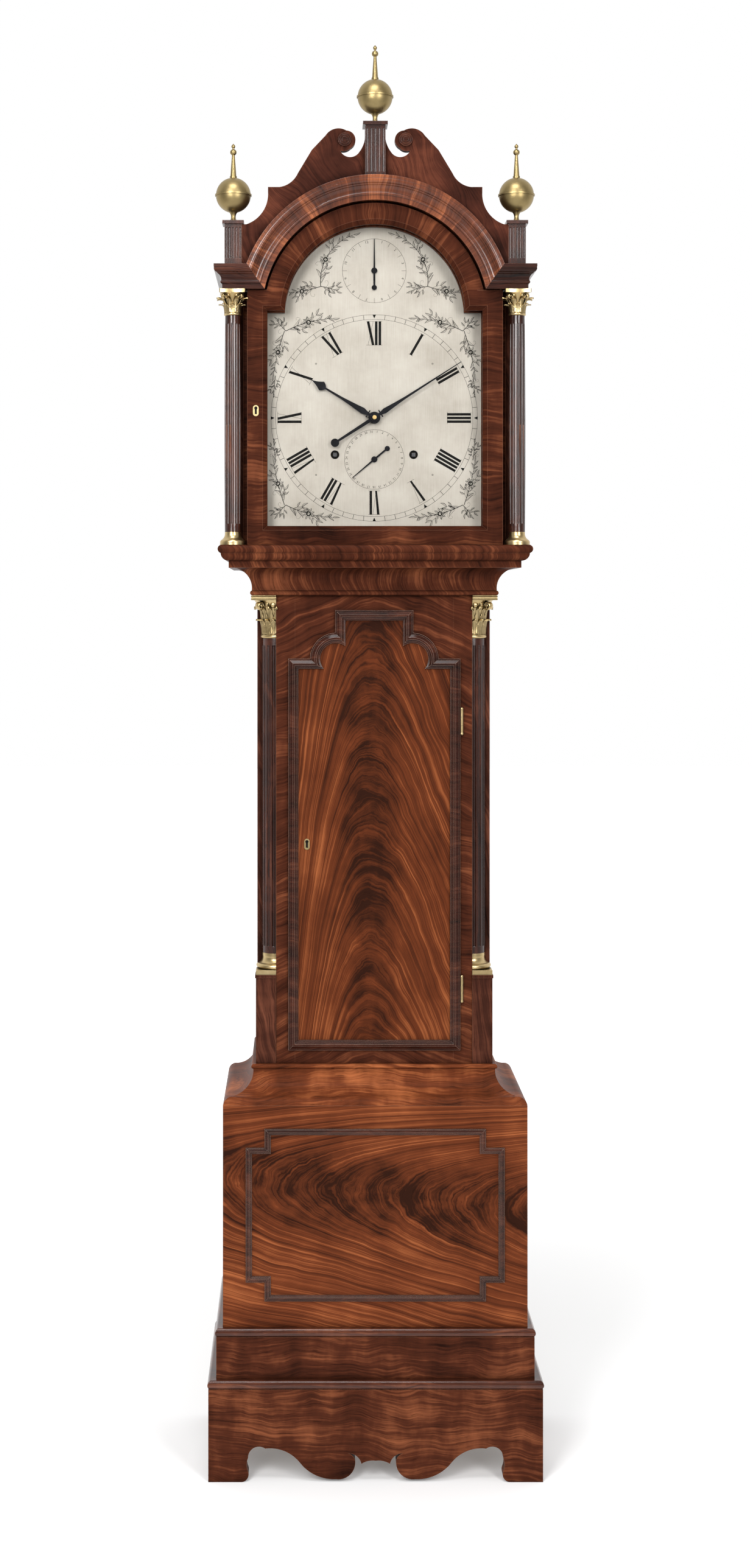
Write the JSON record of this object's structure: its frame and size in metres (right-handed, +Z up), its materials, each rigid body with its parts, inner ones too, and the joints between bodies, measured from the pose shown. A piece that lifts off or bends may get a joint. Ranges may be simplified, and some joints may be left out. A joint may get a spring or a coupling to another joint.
{
  "type": "longcase clock",
  "caption": "Year-going mahogany longcase clock: bracket feet, arched trunk door, sliding hood with swan-neck pediment and ball finials, silvered arch dial, weight-driven train.",
  "frame": {"origin": "on the floor, at the middle of the clock's width and depth", "axes": "+X to the right of someone facing the dial, +Y from the dial towards the wall, +Z up"},
  "size_m": [0.487, 0.2724, 2.0865],
  "materials": {
    "mahogany": "french polish",
    "oak": "bare oak",
    "brass": "aged and lacquered",
    "silvered": "silvered and engraved",
    "blued_steel": "blued",
    "glass": "clear",
    "gut": "twisted gut"
  },
  "bodies": {
    "case": {"skirt_boards": "mahogany", "base_mouldings": "mahogany", "band_boards": "mahogany", "base_front": "mahogany", "base_carcass": "oak", "base_panel_moulding": "mahogany", "trunk_foot_moulding": "mahogany", "backboard": "oak", "trunk_sides": "mahogany", "trunk_front_frame": "mahogany", "quarter_columns": "mahogany", "quarter_blocks": "mahogany", "quarter_column_mounts": "brass", "throat_moulding": "mahogany", "trunk_hinge_leaves": "brass", "seatboard": "oak", "dial_plate": "silvered", "movement_plates": "brass", "movement_pillars": "brass", "back_cock": "brass", "line_ends": "gut", "weight_lines": "gut"},
    "trunk_door": {"trunk_door_panel": "mahogany", "trunk_door_moulding": "mahogany", "trunk_door_hinges": "brass", "trunk_door_escutcheon": "brass"},
    "hood": {"hood_base_frame": "mahogany", "hood_sides": "mahogany", "dial_mask": "mahogany", "hood_columns": "mahogany", "hood_column_mounts": "brass", "hood_cornice": "mahogany", "hood_arch_moulding": "mahogany", "hood_roof": "mahogany", "hood_pediment": "mahogany", "pediment_roundels": "mahogany", "finial_plinths": "mahogany", "finials": "brass"},
    "hood_door": {"hood_door_frame": "mahogany", "hood_door_glass": "glass", "hood_door_pivots": "brass", "hood_door_escutcheon": "brass"},
    "minute_work": {"minute_hand": "blued_steel", "centre_wheel": "brass"},
    "hour_work": {"hour_hand": "blued_steel"},
    "date_work": {"date_hand": "blued_steel"},
    "month_work": {"month_hand": "blued_steel"},
    "pendulum": {"pendulum": "brass"},
    "pallets": {"pallets": "blued_steel"},
    "barrel_left": {"barrel_left": "brass"},
    "barrel_right": {"barrel_right": "brass"},
    "great_wheel_left": {"great_wheel_left": "brass"},
    "great_wheel_right": {"great_wheel_right": "brass"},
    "second_wheel": {"second_wheel": "brass"},
    "third_wheel": {"third_wheel": "brass"},
    "fourth_wheel": {"fourth_wheel": "brass"},
    "escape_wheel": {"escape_wheel": "brass"},
    "minute_wheel": {"minute_wheel": "brass"},
    "weight_left": {"weight_left": "brass"},
    "weight_right": {"weight_right": "brass"}
  },
  "joints": [
    {"name": "hood_slide", "type": "slide", "parent": "case", "child": "hood", "axis": [0, -1, 0], "range_m": [0, 0.3]},
    {"name": "hood_door_hinge", "type": "hinge", "parent": "hood", "child": "hood_door", "pos_m": [0.1835, -0.10445, 1.54], "axis": [0, 0, 1], "range_deg": [0, 90]},
    {"name": "trunk_door_hinge", "type": "hinge", "parent": "case", "child": "trunk_door", "pos_m": [0.1293, -0.06845, 0.9], "axis": [0, 0, 1], "range_deg": [0, 110]},
    {"name": "minute_spin", "type": "hinge", "parent": "case", "child": "minute_work", "pos_m": [0, 0, 1.5456], "axis": [0, 1, 0], "continuous": true},
    {"name": "hour_spin", "type": "hinge", "parent": "case", "child": "hour_work", "pos_m": [0, 0, 1.5456], "axis": [0, 1, 0], "continuous": true},
    {"name": "minute_wheel_spin", "type": "hinge", "parent": "case", "child": "minute_wheel", "pos_m": [-0.03118, 0, 1.5636], "axis": [0, 1, 0], "continuous": true},
    {"name": "third_spin", "type": "hinge", "parent": "case", "child": "third_wheel", "pos_m": [0.02618, 0, 1.53863], "axis": [0, 1, 0], "continuous": true},
    {"name": "second_spin", "type": "hinge", "parent": "case", "child": "second_wheel", "pos_m": [0, 0, 1.4914], "axis": [0, 1, 0], "continuous": true},
    {"name": "great_spin_left", "type": "hinge", "parent": "case", "child": "great_wheel_left", "pos_m": [-0.058, 0, 1.4914], "axis": [0, 1, 0], "continuous": true},
    {"name": "great_spin_right", "type": "hinge", "parent": "case", "child": "great_wheel_right", "pos_m": [0.058, 0, 1.4914], "axis": [0, 1, 0], "continuous": true},
    {"name": "fourth_spin", "type": "hinge", "parent": "case", "child": "fourth_wheel", "pos_m": [-0.01655, 0, 1.56215], "axis": [0, 1, 0], "continuous": true},
    {"name": "escape_spin", "type": "hinge", "parent": "case", "child": "escape_wheel", "pos_m": [0, 0, 1.57408], "axis": [0, 1, 0], "continuous": true},
    {"name": "date_spin", "type": "hinge", "parent": "case", "child": "date_work", "pos_m": [0, 0, 1.4844], "axis": [0, 1, 0], "continuous": true},
    {"name": "month_spin", "type": "hinge", "parent": "case", "child": "month_work", "pos_m": [0, 0, 1.763], "axis": [0, 1, 0], "continuous": true},
    {"name": "pendulum_swing", "type": "hinge", "parent": "case", "child": "pendulum", "pos_m": [0, 0.07, 1.59812], "axis": [0, 1, 0], "range_deg": [-2.5, 2.5]},
    {"name": "pallet_rock", "type": "hinge", "parent": "case", "child": "pallets", "pos_m": [0, 0, 1.59812], "axis": [0, 1, 0], "range_deg": [-2.5, 2.5]},
    {"name": "weight_fall_left", "type": "slide", "parent": "case", "child": "weight_left", "axis": [0, 0, 1], "range_m": [-0.835, 0.18], "deforming": ["weight_lines"]},
    {"name": "weight_fall_right", "type": "slide", "parent": "case", "child": "weight_right", "axis": [0, 0, 1], "range_m": [-0.835, 0.18]},
    {"name": "barrel_turn_left", "type": "hinge", "parent": "case", "child": "barrel_left", "pos_m": [-0.058, 0, 1.4914], "axis": [0, 1, 0], "range_deg": [-4604, 1063]},
    {"name": "barrel_turn_right", "type": "hinge", "parent": "case", "child": "barrel_right", "pos_m": [0.058, 0, 1.4914], "axis": [0, 1, 0], "range_deg": [-4604, 1063]}
  ],
  "couplings": [
    {"joint": "hour_spin", "follows": "minute_spin", "ratio": 0.083333},
    {"joint": "minute_wheel_spin", "follows": "minute_spin", "ratio": -0.33333},
    {"joint": "third_spin", "follows": "minute_spin", "ratio": -0.11111},
    {"joint": "second_spin", "follows": "minute_spin", "ratio": 0.013889},
    {"joint": "great_spin_left", "follows": "minute_spin", "ratio": -0.0017361},
    {"joint": "great_spin_right", "follows": "minute_spin", "ratio": -0.0017361},
    {"joint": "fourth_spin", "follows": "minute_spin", "ratio": -8},
    {"joint": "escape_spin", "follows": "minute_spin", "ratio": 60},
    {"joint": "pallet_rock", "follows": "pendulum_swing", "ratio": 1},
    {"joint": "weight_fall_right", "follows": "weight_fall_left", "ratio": 1},
    {"joint": "barrel_turn_left", "follows": "weight_fall_left", "rad_per_m": 94.34},
    {"joint": "barrel_turn_right", "follows": "weight_fall_left", "rad_per_m": 94.34}
  ]
}
